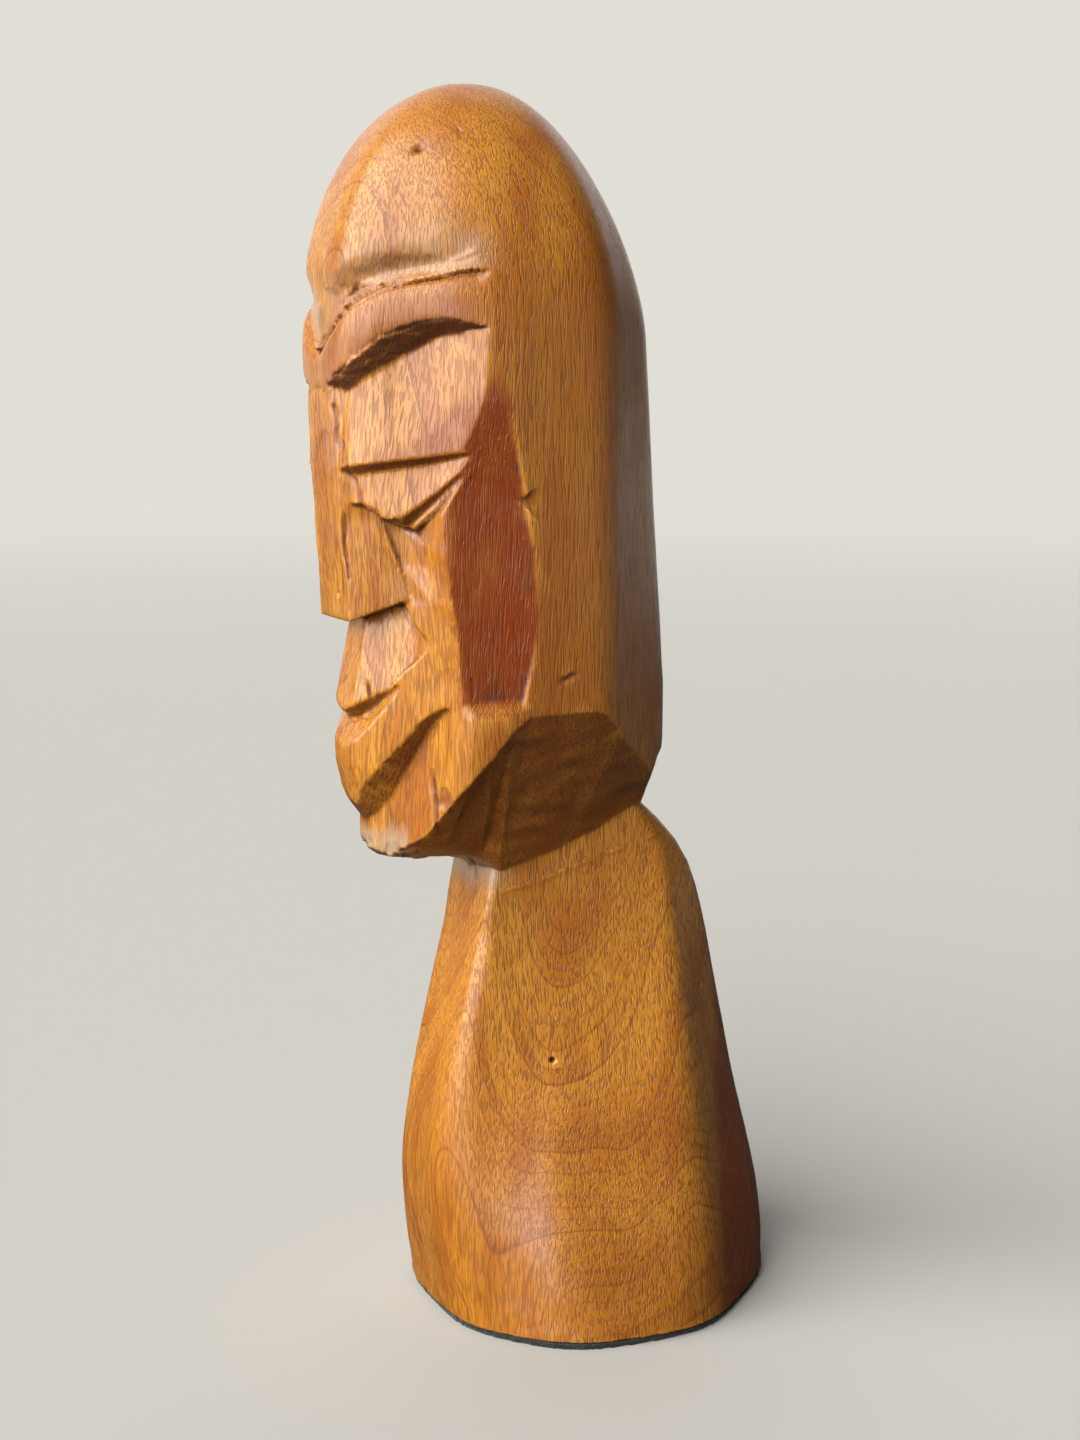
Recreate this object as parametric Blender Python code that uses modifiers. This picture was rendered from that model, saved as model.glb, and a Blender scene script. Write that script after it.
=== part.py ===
"""Carved wooden bust of a long-headed figure, standing on a thin felt pad.

One block of wood is head, neck and torso. The figure faces -Y, its left side
is +X, and the origin is at the middle of the pad's underside.
"""
import math

import bmesh
import bpy
from mathutils import Vector

MM = 0.001

# Driving sizes of the finished work
WOOD_HEIGHT = 249.6 * MM
PAD_THICKNESS = 1.0 * MM
PAD_INSET = 0.6 * MM
PAD_GAP = 0.3 * MM
PAD_CORNER_STEPS = 5

# The carving is drawn in millimetres on a block of this height
DRAWN_HEIGHT = 249.6
DRAWN_MM = WOOD_HEIGHT / DRAWN_HEIGHT

# Torso sections: height, front, back, half front face, half width, side belly, rounding
TORSO_SECTIONS = (
    (0.0, -37.4, 37.4, 15.5, 38.2, 10.5, 22.0),
    (18.0, -39.5, 36.2, 14.4, 34.6, 6.6, 19.0),
    (31.0, -40.2, 33.7, 13.0, 31.0, 3.6, 13.0),
    (44.0, -38.6, 30.2, 12.2, 27.8, 1.8, 8.0),
    (59.0, -35.4, 27.0, 11.6, 24.0, 0.6, 5.0),
    (87.0, -28.6, 20.8, 10.8, 17.0, 0.0, 2.5),
    (98.0, -26.4, 15.0, 10.5, 14.2, 0.0, 2.0),
    (112.0, -22.0, 0.0, 10.0, 11.0, 0.0, 2.0),
)
TORSO_WIDEST = 10.0
TORSO_BELLY_SHARE = 0.45
TORSO_RING_STEP = 5.0

# Head block before it is carved
HEAD_FLOOR = 88.0
DOME_START = 203.0
DOME_TIP_RISE = 0.4
HEAD_FRONT = -59.9
HEAD_BACK = 7.4
HEAD_BACK_DROP = 5.0
HEAD_HALF_WIDTH = 27.0
FACE_HALF_WIDTH = 13.0
TEMPLE = -34.5
SIDE_END = -9.0
BACK_HALF_WIDTH = 12.0
CROWN = -27.5
FACE_ROUNDING = 12.0
TEMPLE_ROUNDING = 22.0
DOME_FRONT_POWER = 2.2
DOME_SIDE_POWER = 2.2
DOME_BACK_POWER = 1.27
HEAD_RING_STEP = 14.0
DOME_RINGS = 14
CORNER_STEPS = 7

# Plan outline of the muzzle: middle of the lips, corner of the lips, end at the jaw
MUZZLE_OUTLINE = ((0.0, -55.6), (5.3, -54.9), (26.0, -36.8))

# Depths of the carving are taken towards the upright line this far back
CARVING_AXIS = -27.5
CUT_REACH = 14.0
CUT_SHARE = 1.7

# Points closer than this are one, along the neck's seam and along the mirror's middle
SEAM_WELD = 0.000001
MIRROR_WELD = 0.00001


def value_at(stops, where):
    """Smooth value through (where, value) stops, flat beyond both ends."""
    if where <= stops[0][0]:
        return stops[0][1]
    if where >= stops[-1][0]:
        return stops[-1][1]
    last = len(stops) - 1
    at = max(k for k in range(last) if stops[k][0] <= where)

    def slope(k):
        low, high = max(k - 1, 0), min(k + 1, last)
        return (stops[high][1] - stops[low][1]) / (stops[high][0] - stops[low][0])

    (a, start), (b, end) = stops[at], stops[at + 1]
    span = b - a
    t = (where - a) / span
    return ((2 * t**3 - 3 * t**2 + 1) * start + (t**3 - 2 * t**2 + t) * span * slope(at)
            + (3 * t**2 - 2 * t**3) * end + (t**3 - t**2) * span * slope(at + 1))


def rounded(corners, radii, steps):
    """Open outline through corners, each inner corner rounded by its radius."""
    outline = [Vector(corners[0])]
    for k in range(1, len(corners) - 1):
        before, corner, after = (Vector(corners[k + d]) for d in (-1, 0, 1))
        back, on = before - corner, after - corner
        half = back.angle(on) / 2
        reach = min(radii[k] / math.tan(half), 0.49 * back.length, 0.49 * on.length)
        start, end = corner + back.normalized() * reach, corner + on.normalized() * reach
        for step in range(steps + 1):
            t = step / steps
            outline.append((1 - t) ** 2 * start + 2 * t * (1 - t) * corner + t * t * end)
    outline.append(Vector(corners[-1]))
    return outline


def both_sides(half):
    """Closed outline from the half that runs from the front middle to the back middle."""
    side = half[1:-1]
    return side + [Vector((-p.x, p.y)) for p in reversed(side)]


def torso_outline(height, inset=0.0):
    """Plan of the torso: narrow front face, one long side on each side, rounded back."""
    front, back, half_front, half_width, belly, corner = (
        value_at([(row[0], row[k]) for row in TORSO_SECTIONS], height) for k in range(1, 7))
    front_corner = Vector((half_front, front + inset))
    side_end = Vector((half_width - inset, min(TORSO_WIDEST, 0.6 * back)))
    side = side_end - front_corner
    middle = front_corner + side * TORSO_BELLY_SHARE + Vector((side.y, -side.x)).normalized() * belly
    corners = ((0, front + inset), front_corner, middle, side_end, (half_front, back - inset),
               (0, back - inset))
    side = 0.8 * corner + 4
    return both_sides(rounded(corners, (0, corner, side, side, side, 0), PAD_CORNER_STEPS))


def head_half_outline(height):
    """Right half of the uncarved head's plan at a height, front middle to back middle."""
    t = max(0.0, (height - DOME_START) / (DRAWN_HEIGHT + DOME_TIP_RISE - DOME_START))
    front, side, back = (math.sqrt(max(0.0, 1 - t**power))
                         for power in (DOME_FRONT_POWER, DOME_SIDE_POWER, DOME_BACK_POWER))
    drop = HEAD_BACK_DROP * min(1.0, max(0.0, (DOME_START - height) / 70))

    def deep(y, share):
        return CROWN + (y - CROWN) * share

    corners = ((0, deep(HEAD_FRONT, front)), (FACE_HALF_WIDTH * side, deep(HEAD_FRONT + 0.8, front)),
               (HEAD_HALF_WIDTH * side, deep(TEMPLE, front**0.3)),
               (HEAD_HALF_WIDTH * side, deep(SIDE_END, back)),
               (BACK_HALF_WIDTH * side, deep(HEAD_BACK + drop, back)), (0, deep(HEAD_BACK + drop, back)))
    soft = 1 + min(1.0, max(0.0, (height - 196) / 22))
    return rounded(corners, (0, FACE_ROUNDING * soft, TEMPLE_ROUNDING * soft, 12, 12, 0), CORNER_STEPS)


def finish_mesh(name, mesh):
    """Object made from a bmesh, with its faces turned outwards."""
    bmesh.ops.recalc_face_normals(mesh, faces=mesh.faces[:])
    data = bpy.data.meshes.new(name)
    mesh.to_mesh(data)
    mesh.free()
    return bpy.data.objects.new(name, data)


def loft(name, sections):
    """Closed solid through sections of equal point count, flat or skew, with end caps."""
    mesh = bmesh.new()
    rings = [[mesh.verts.new(Vector(p) * DRAWN_MM) for p in section] for section in sections]
    count = len(rings[0])
    for low, high in zip(rings, rings[1:]):
        for k in range(count):
            mesh.faces.new((low[k], low[(k + 1) % count], high[(k + 1) % count], high[k]))
    mesh.faces.new(rings[0])
    mesh.faces.new(rings[-1])
    return finish_mesh(name, mesh)


def skin(outline, along, depth, height):
    """Point below the skin of a plan outline, so far along it from the middle of the face."""
    if along < 0:
        mirrored = skin(outline, -along, depth, height)
        return Vector((-mirrored.x, mirrored.y, mirrored.z))
    left = along
    for k in range(len(outline) - 1):
        start, end = Vector(outline[k]), Vector(outline[k + 1])
        length = (end - start).length
        if left <= length or k == len(outline) - 2:
            place = start + (end - start) * left / length
            inwards = (Vector((0, CARVING_AXIS)) - place).normalized()
            return (place + inwards * depth).to_3d() + Vector((0, 0, height))
        left -= length


def skin_line(outline, steps, heights, depths):
    return [skin(outline, along, value_at(depths, along), value_at(heights, along)) for along in steps]


def notch(name, upper, deep, lower):
    """V cut between three lines: its upper edge, its deepest line and its lower edge."""
    return loft(name, [(d, d + (u - d) * CUT_SHARE, d + (w - d) * CUT_SHARE)
                       for u, d, w in zip(upper, deep, lower)])


def panel(name, outline, steps, low, high, rise=0.0):
    """Sunk face between a low and a high line, each (heights, depths), open outwards."""
    sections = []
    for along in steps:
        bottom = skin(outline, along, value_at(low[1], along), value_at(low[0], along))
        top = skin(outline, along, value_at(high[1], along), value_at(high[0], along))
        top_out = skin(outline, along, value_at(high[1], along) - CUT_REACH, top.z + rise * CUT_REACH)
        bottom_out = skin(outline, along, value_at(low[1], along) - CUT_REACH, bottom.z)
        sections.append((bottom, top, top_out, bottom_out))
    return loft(name, sections)


def hollow(name, outline, steps, edge, deep, low):
    """Overhung hollow between three lines, each (heights, depths), open outwards to the low one."""
    def on_line(line, along, outwards=0.0):
        return skin(outline, along, value_at(line[1], along) - outwards, value_at(line[0], along))

    sections = []
    for along in steps:
        inner = on_line(deep, along)
        sections.append((inner, inner + (on_line(edge, along) - inner) * CUT_SHARE,
                         on_line(low, along, CUT_REACH), on_line(low, along)))
    return loft(name, sections)


def spread(start, end, count):
    return [start + (end - start) * k / (count - 1) for k in range(count)]


def face_skin():
    return head_half_outline(DOME_START - 13)


def brow_cut():
    """Hollow under the brow: the brow overhangs it and the socket runs out to the lid."""
    edge = (((4.0, 191.0), (11.5, 194.6), (20.5, 201.0), (30.0, 203.5), (41.0, 202.6)),
            ((34.0, 0.0), (41.0, -1.4)))
    deep = (((4.0, 189.6), (11.5, 191.0), (20.5, 196.2), (30.0, 200.4), (41.0, 202.6)),
            ((0.0, 3.0), (4.0, 3.0), (11.5, 2.7), (22.0, 3.6), (32.0, 2.9), (38.0, 1.3), (41.0, -0.4)))
    lid = (((4.0, 175.0), (14.0, 176.0), (38.0, 179.0), (41.0, 179.2)),
           ((0.0, 3.0), (4.0, 3.0), (9.0, 0.9), (30.0, 0.4), (39.0, -0.3), (41.0, -1.2)))
    return hollow("brow_cut", face_skin(), spread(-3.1, 42.0, 18), edge, deep, lid)


def forehead_cut():
    """Scooped hollow across the forehead that leaves the brow's upper edge proud."""
    steps = spread(-6.2, 41.0, 16)
    crest = ((0.0, 197.2), (5.5, 200.8), (12.0, 205.0), (22.0, 209.4), (38.0, 211.6))
    deep = ((0.0, 199.2), (5.5, 203.2), (12.0, 207.4), (22.0, 211.6), (38.0, 212.8))
    sunk = ((0.0, 1.5), (12.0, 2.0), (24.0, 1.9), (34.0, 1.0), (39.0, -0.3))
    top = ((0.0, 208.0), (12.0, 216.5), (24.0, 219.0), (38.0, 217.0))
    outline = face_skin()
    return notch("forehead_cut", skin_line(outline, steps, top, ((0, 0.3), (34, 0.0), (39, -1.2))),
                 skin_line(outline, steps, deep, sunk), skin_line(outline, steps, crest, ((34, 0.0), (39, -1.2))))


def eye_cut():
    """Eyeball facet, stepped in under the lid and running out to the lower vertex."""
    high = (((6.0, 174.4), (14.0, 175.0), (30.0, 177.2), (38.0, 178.9)),
            ((0.0, 3.4), (6.0, 2.8), (14.0, 2.5), (28.0, 2.0), (36.0, 0.9), (39.0, -0.4)))
    low = (((6.0, 164.0), (26.0, 164.0), (32.0, 172.0), (39.0, 178.0)),
           ((0.0, 3.4), (6.0, 2.8), (16.0, 1.6), (26.0, 0.8), (36.0, -0.3), (39.0, -1.2)))
    return panel("eye_cut", face_skin(), spread(-4.6, 39.0, 14), low, high, rise=0.8)


def face_cut():
    """Cheek below the eye and the block of the muzzle, one long slope on each side.

    Each row runs from under the nose over the fold and the cheek to the cheek's crest.
    """
    rows = (
        ((-8, -53.0, 168.0), (10.8, -52.8, 168.4), (15.6, -47.2, 164.2), (28.0, -34.0, 180.6)),
        ((-8, -52.0, 164.0), (11.6, -51.0, 164.0), (17.0, -46.0, 161.6), (23.7, -41.7, 168.0)),
        ((-8, -51.0, 158.0), (12.4, -49.2, 158.0), (17.6, -44.8, 157.0), (24.3, -41.0, 158.0)),
        ((-8, -51.0, 150.0), (14.0, -46.7, 150.0), (18.6, -43.9, 150.0), (25.0, -39.8, 150.0)),
        ((-8, -55.4, 142.0), (5.3, -54.9, 142.0), (15.6, -46.0, 142.0), (26.4, -37.6, 142.0)),
        ((-8, -56.0, 128.0), (5.3, -55.4, 128.0), (15.6, -46.0, 128.0), (28.4, -35.0, 130.0)),
        ((-8, -55.8, 117.0), (5.3, -55.1, 117.0), (15.6, -45.9, 117.0), (28.8, -34.7, 117.0)),
        ((-8, -52.8, 105.5), (5.3, -52.4, 105.5), (15.6, -45.0, 105.5), (28.8, -34.7, 105.5)),
        ((-8, -48.0, 84.0), (5.3, -47.6, 84.0), (15.6, -43.0, 84.0), (28.8, -34.7, 84.0)),
    )
    top_rises = (3.0, 3.0, 12.5, 1.0)
    sections = []
    for column, rise in zip(zip(*rows), top_rises):
        inner = [Vector(p) for p in column]
        outwards = Vector((inner[0].x, inner[0].y - CARVING_AXIS, 0)).normalized() * CUT_REACH
        sections.append(inner + [inner[-1] + outwards, inner[0] + outwards + Vector((0, 0, rise))])
    return loft("face_cut", sections)


def upper_lip_cut():
    """Upper lip, sunk below the nose and below the fold that runs from the nose wing."""
    low = (((0, 125.4), (5, 126.0), (11, 130.6), (15.5, 135.6), (18.5, 138.0), (22.5, 141.6)),
           ((0, -0.6), (5, -0.6), (11, 0.6), (15.5, 1.3), (19.0, 1.0), (22.5, -0.4)))
    high = (((0, 153.5), (14, 153.5), (18.5, 146.6), (22.5, 142.4)),
            ((0, 5.0), (5, 4.9), (14, 3.5), (18.5, 2.0), (22.5, -0.4)))
    return panel("upper_lip_cut", MUZZLE_OUTLINE, (-5.4, 3, 5.2, 8, 11, 13.5, 15.5, 17, 18.5, 20.5, 22.5),
                 low, high)


def mouth_cut():
    """Line of the mouth, rising to its corner, with the sloped top of the lower lip."""
    steps = (-3.7, 1.5, 3.4, 5.3, 7.5, 10.0, 12.5, 15.0, 16.8)
    edge = ((0, 127.4), (5.3, 129.2), (11.0, 132.4), (16.8, 134.4))
    deep = ((0, 126.0), (5.3, 127.2), (11.0, 130.9), (16.8, 134.3))
    sunk = ((0, 1.7), (5.3, 2.6), (10.0, 2.2), (14.0, 1.2), (16.8, -0.5))
    crest = ((0, 119.6), (5.3, 121.8), (11.0, 126.8), (16.8, 133.4))
    return notch("mouth_cut", skin_line(MUZZLE_OUTLINE, steps, edge, ((0, 0.1), (14, 0.3), (16.8, -0.6))),
                 skin_line(MUZZLE_OUTLINE, steps, deep, sunk),
                 skin_line(MUZZLE_OUTLINE, steps, crest, ((0, -0.2), (16.8, -0.6))))


def chin_cut():
    """Chin, sunk under the slanting lower edge of the lip."""
    low = (((0, 80.0), (1, 80.0)),
           ((0, 5.3), (5, 4.6), (12, 3.6), (20, 2.2), (25, 0.9), (28.0, -0.4)))
    high = (((0, 104.6), (4.5, 106.0), (10, 110.8), (15, 116.4), (20, 123.4), (25, 128.4), (28.0, 130.4)),
            ((0, 4.9), (5, 4.6), (12, 4.0), (20, 2.6), (25, 1.0), (28.0, -0.4)))
    return panel("chin_cut", MUZZLE_OUTLINE, (-6.7, 2, 4.5, 7.5, 10, 12.5, 15, 17.5, 20, 23, 25.5, 28.0),
                 low, high, rise=1.3)


def underside_cut():
    """Underside of chin and jaw, one bowl that rises outwards and to the back.

    Each row: distance back, height in the middle, then two turning points (out, up).
    """
    rows = (
        (-66.0, 103.0, 8.0, 104.0, 24.0, 116.0),
        (-51.0, 99.4, 7.0, 100.4, 22.0, 112.0),
        (-48.0, 97.2, 7.0, 98.4, 22.5, 111.0),
        (-43.0, 96.0, 8.0, 97.6, 23.0, 111.4),
        (-38.0, 95.7, 9.0, 98.0, 25.0, 115.4),
        (-34.0, 95.4, 10.0, 98.0, 26.6, 120.4),
        (-30.0, 94.4, 10.6, 97.0, 27.0, 125.4),
        (-26.0, 92.0, 11.2, 94.4, 27.0, 128.2),
        (-13.0, 92.0, 11.8, 97.4, 27.0, 128.4),
        (-3.6, 95.0, 12.0, 101.0, 26.0, 126.6),
        (6.0, 101.6, 12.0, 105.4, 21.0, 121.6),
        (9.0, 108.6, 11.0, 112.6, 18.0, 122.4),
        (12.5, 120.0, 10.0, 122.6, 16.0, 125.4),
        (20.0, 140.0, 10.0, 142.0, 16.0, 145.0),
    )
    sections = []
    for back, middle, first_out, first_up, second_out, second_up in rows:
        slope = (second_up - first_up) / (second_out - first_out)
        far = second_out + 10
        sections.append([(-3, back, middle), (first_out, back, first_up), (second_out, back, second_up),
                         (far, back, second_up + 10 * slope), (far, back, 70.0), (-3, back, 70.0)])
    return loft("underside_cut", sections)


def nose_block():
    """Long slab nose, narrow at the brow and wide at the wings, sloped in below."""
    bridge = ((7.0, -40.0, 199.0), (7.5, -57.2, 199.0), (5.0, -59.7, 199.0))
    eye = ((9.5, -40.0, 176.0), (9.6, -56.6, 176.0), (6.8, -58.9, 176.0))
    cheek = ((12.0, -40.0, 166.0), (12.2, -51.3, 166.0), (7.5, -58.1, 166.0))
    wing = ((14.6, -38.0, 143.0), (14.9, -46.5, 150.8), (8.4, -56.5, 146.0))
    return loft("nose_block", [list(row) + [(-x, y, z) for x, y, z in reversed(row)]
                               for row in (bridge, eye, cheek, wing)])


def uncarved_head():
    dome = [DOME_START + (DRAWN_HEIGHT - DOME_START) * math.sin(math.pi / 2 * k / DOME_RINGS)
            for k in range(DOME_RINGS + 1)]
    column = spread(HEAD_FLOOR, DOME_START, round((DOME_START - HEAD_FLOOR) / HEAD_RING_STEP) + 1)
    heights = column[:-1] + dome
    return loft("uncarved_head", [[(p.x, p.y, z) for p in both_sides(head_half_outline(z))]
                                  for z in heights])


def torso():
    top = TORSO_SECTIONS[-1][0]
    heights = spread(0.0, top, round(top / TORSO_RING_STEP) + 1)
    return loft("bust", [[(p.x, p.y, z) for p in torso_outline(z)] for z in heights])


def cut_with(piece, tool, operation):
    step = piece.modifiers.new(tool.name, "BOOLEAN")
    step.operation = operation
    step.object = tool
    step.solver = "EXACT"


def wood():
    surface = bpy.data.materials.new("varnished_wood")
    surface.use_nodes = True
    shader = surface.node_tree.nodes["Principled BSDF"]
    shader.inputs["Base Color"].default_value = (0.48, 0.24, 0.08, 1)
    shader.inputs["Roughness"].default_value = 0.42
    surface.diffuse_color = (0.48, 0.24, 0.08, 1)
    return surface


def felt():
    surface = bpy.data.materials.new("black_felt")
    surface.use_nodes = True
    shader = surface.node_tree.nodes["Principled BSDF"]
    shader.inputs["Base Color"].default_value = (0.012, 0.014, 0.012, 1)
    shader.inputs["Roughness"].default_value = 0.95
    surface.diffuse_color = (0.012, 0.014, 0.012, 1)
    return surface


def make_bust(parts, tools):
    """Torso joined with the carved head, one solid, the right half mirrored to the left."""
    underside = PAD_THICKNESS + PAD_GAP
    bust = torso()
    parts.objects.link(bust)
    head = uncarved_head()
    steps = ((brow_cut(), "DIFFERENCE"), (eye_cut(), "DIFFERENCE"), (forehead_cut(), "DIFFERENCE"),
             (face_cut(), "DIFFERENCE"), (upper_lip_cut(), "DIFFERENCE"), (mouth_cut(), "DIFFERENCE"),
             (chin_cut(), "DIFFERENCE"), (nose_block(), "UNION"), (underside_cut(), "DIFFERENCE"))
    for tool in [head] + [tool for tool, operation in steps]:
        tools.objects.link(tool)
        tool.hide_render = True
        tool.display_type = "WIRE"
        tool.location.z = underside
    for tool, operation in steps:
        cut_with(head, tool, operation)
    cut_with(bust, head, "UNION")
    bust.modifiers.new("seam_closed", "WELD").merge_threshold = SEAM_WELD
    mirror = bust.modifiers.new("left_from_right", "MIRROR")
    mirror.use_bisect_axis[0] = True
    mirror.use_bisect_flip_axis[0] = False
    mirror.bisect_threshold = SEAM_WELD
    mirror.merge_threshold = MIRROR_WELD
    bust.location.z = underside
    bust.data.materials.append(wood())
    return bust


def make_pad(parts):
    """Felt pad, the torso's bottom outline drawn in a little."""
    outline = torso_outline(0.0, PAD_INSET / DRAWN_MM)
    drawn = [PAD_THICKNESS * k / DRAWN_MM for k in (0, 1)]
    pad = loft("felt_pad", [[(p.x, p.y, z) for p in outline] for z in drawn])
    pad.data.materials.append(felt())
    parts.objects.link(pad)
    return pad


def main():
    for item in list(bpy.data.objects):
        bpy.data.objects.remove(item, do_unlink=True)
    parts = bpy.data.collections.new("wooden_bust")
    tools = bpy.data.collections.new("carving_tools")
    for group in (parts, tools):
        bpy.context.scene.collection.children.link(group)
    make_bust(parts, tools)
    make_pad(parts)


main()
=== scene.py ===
import math
from itertools import product

import bpy
import numpy as np
from bpy.props import FloatProperty, FloatVectorProperty, IntProperty, PointerProperty
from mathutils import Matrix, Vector


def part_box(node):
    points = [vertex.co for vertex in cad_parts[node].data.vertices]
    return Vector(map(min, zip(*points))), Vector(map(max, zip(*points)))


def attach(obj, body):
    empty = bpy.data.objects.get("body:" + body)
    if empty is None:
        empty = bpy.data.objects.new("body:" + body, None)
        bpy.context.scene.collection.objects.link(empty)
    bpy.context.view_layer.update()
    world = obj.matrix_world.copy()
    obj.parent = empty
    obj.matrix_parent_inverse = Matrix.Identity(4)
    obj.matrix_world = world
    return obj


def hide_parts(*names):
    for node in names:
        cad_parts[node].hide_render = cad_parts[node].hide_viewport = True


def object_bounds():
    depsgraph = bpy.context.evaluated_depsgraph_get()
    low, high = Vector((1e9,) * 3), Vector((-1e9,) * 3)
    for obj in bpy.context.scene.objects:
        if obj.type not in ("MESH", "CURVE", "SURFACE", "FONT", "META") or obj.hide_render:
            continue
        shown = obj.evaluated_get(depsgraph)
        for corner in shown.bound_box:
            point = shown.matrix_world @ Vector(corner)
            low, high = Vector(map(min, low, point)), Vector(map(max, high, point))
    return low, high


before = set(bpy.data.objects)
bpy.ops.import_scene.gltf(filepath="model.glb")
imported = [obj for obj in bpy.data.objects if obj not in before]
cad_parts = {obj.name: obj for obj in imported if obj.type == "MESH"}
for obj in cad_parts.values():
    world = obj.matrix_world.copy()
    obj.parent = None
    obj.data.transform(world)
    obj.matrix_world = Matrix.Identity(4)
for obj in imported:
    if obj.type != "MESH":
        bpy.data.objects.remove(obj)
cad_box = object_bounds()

bl_info = {
    "name": "Carved wooden bust",
    "version": (1, 0, 0),
    "blender": (4, 5, 0),
    "location": "3D View > Sidebar > Wooden bust",
    "description": "Dresses the solid bust as carved and varnished wood on a felt pad",
    "category": "Object",
}

MM = 0.001

# Where the carver's marks sit, in millimetres in the bust's own frame: lines of points,
# then the width and the depth of the mark, or its height where it is a ridge
SPLITS = {
    "brow split": (((-1.3, -59.6, 198.4), (3.5, -59.4, 201.2), (8.6, -59.3, 204.2), (11.1, -57.7, 207.5),
                    (13.0, -55.8, 211.1)), 0.6, 0.9),
    "split beside it": (((9.4, -57.5, 208.3), (12.2, -56.3, 210.0), (14.5, -53.1, 211.3)), 0.6, 0.7),
    "nose split": (((8.3, -57.0, 168.1), (8.1, -57.2, 162.4), (8.5, -56.4, 156.0)), 0.7, 0.6),
    "chin split": (((16.3, -42.6, 118.5), (17.0, -42.3, 112.6), (15.6, -41.2, 105.5)), 0.7, 0.8),
    "lip split": (((6.8, -52.4, 135.2), (7.7, -52.0, 131.7)), 0.6, 0.9),
    "neck split": (((4.6, -30.2, 101.0), (4.8, -28.5, 92.6)), 0.6, 0.9),
    "torso dent": (((11.8, -28.5, 75.9), (12.7, -24.8, 75.5), (13.3, -20.8, 78.1)), 1.2, 0.15),
    "dome scar": (((14.5, -44.6, 236.0), (15.0, -42.6, 237.1)), 1.0, 0.8),
    "side scratch": (((27.0, -20.0, 135.9), (27.0, -16.3, 137.4)), 0.7, 0.5),
}
TEARS = {
    "beside the nose": (((6.7, -58.5, 189.1), (7.5, -58.0, 184.7), (9.8, -58.1, 181.5), (11.6, -57.8, 177.8),
                         (11.6, -56.4, 174.5), (12.9, -55.0, 170.6), (14.4, -52.5, 168.8)), 0.55, 0.3),
    "chin knot": (((19.6, -41.3, 113.4), (19.9, -41.1, 112.6)), 1.6, 0.5),
}
RIDGES = {
    "neck line": (((10.9, -26.5, 90.8), (12.1, -17.3, 92.8), (12.8, -9.7, 95.2), (13.4, -1.4, 97.6),
                   (13.6, 8.5, 100.4)), 0.8, 0.28),
    "sliver under the brow": (((5.9, -59.2, 191.9), (11.7, -57.8, 195.0), (13.4, -55.2, 196.0),
                               (15.4, -51.2, 198.7), (16.2, -47.9, 199.3)), 0.6, 0.1),
    "upper sliver": (((16.1, -51.9, 200.4), (17.9, -47.4, 201.7), (20.8, -42.1, 203.1)), 0.6, 0.1),
    "scoop line": (((20.6, -43.1, 214.3), (23.2, -39.9, 216.0), (24.9, -36.4, 217.5)), 0.6, 0.25),
}
# Round holes: middle, radius and depth
HOLES = {
    "torso hole": ((18.0, -17.3, 56.2), 0.65, 1.6),
    "nose hole": ((3.3, -56.9, 152.5), 0.6, 1.0),
    "dome pit": ((16.6, -36.2, 240.5), 0.9, 0.6),
}

# The side that the carver's marks are on, which is the one the camera sees
TOWARDS_VIEW = Vector((0.9063, -0.4226, 0.0))

# The window in front of the figure, whose shape is this share as wide as it is tall, and the fill light
TOWARDS_WINDOW = Vector((0.24, -0.87, 0.43)).normalized()
WINDOW_SHAPE = 0.75
WINDOW_EDGE = (0.66, 0.86)
TOWARDS_FILL = Vector((-0.85, 0.25, 0.46)).normalized()
FILL_EDGE = (0.55, 0.9)

DAYLIGHT = (1.0, 0.975, 0.94)

# The camera's place in metres, its turn in degrees, its lens and its sensor
CAMERA_PLACE = (0.37436, -0.18626, 0.190)
CAMERA_TURN = (80.91, 0.0, 65.0)
CAMERA_LENS = 50.0
CAMERA_SENSOR = 36.0

# The floor in metres: its radius, and from where to where it goes over into the backdrop
FLOOR_RADIUS = 40.0
FLOOR_FADE = (0.8, 3.0)

# Colours of marks on the wood: the brow's front, greyed wood that also serves as painted shade in the scoop
# above the brow, torn wood, and dirt with painted shade in the hollows and under the brow, then two tints:
# end grain seen from below, darkened also as painted shade, and painted shade that darkens the wood towards
# the foot
ROSY = (0.36, 0.125, 0.045)
# Greyed wood at the neck, also used as painted shade in the scoop above the brow
GREY_AND_SHADE = (0.45, 0.32, 0.21)
TORN = (0.23, 0.050, 0.007)
# Dirt and varnish in the hollows, also used as painted shade in creases and under the brow
DIRT_AND_SHADE = (0.075, 0.019, 0.003)
# End grain facing down, a multiply that is also painted shade on undersides
END_GRAIN_AND_SHADE_TINT = (0.36, 0.24, 0.10)
# Painted shade: a multiply that darkens the wood towards the foot
LOW_PAINTED_SHADE = (0.82, 0.77, 0.68)

# The grain in millimetres: how far its lines drift and over what length, where the block lies
# from the pith, and the sizes of flames, fibres and pores
DRIFT = (7, 7, 0)
DRIFT_CELL = (30, 30, 60)
FROM_PITH = (8, 5, 0)
FLAME_CELL = (8, 8, 55)
FIBRE_CELL = (0.8, 0.8, 16)
COARSE_PORE = (0.42, 0.42, 5.5)
FINE_PORE = (0.29, 0.29, 3.2)

# The varnish: least and most roughness, how much rougher open wood and how much smoother russet
# wood is, the coat and what it loses on russet wood, and the relief of the pores in millimetres
ROUGHNESS = (0.27, 0.34)
OPEN_WOOD_ROUGHER = 0.3
RUSSET_SMOOTHER = 0.07
COAT = 0.45
COAT_ROUGHNESS = 0.24
RUSSET_COAT_LOSS = 0.35
PORE_RELIEF = 0.11
PORE_RELIEF_STRENGTH = 0.75

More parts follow.
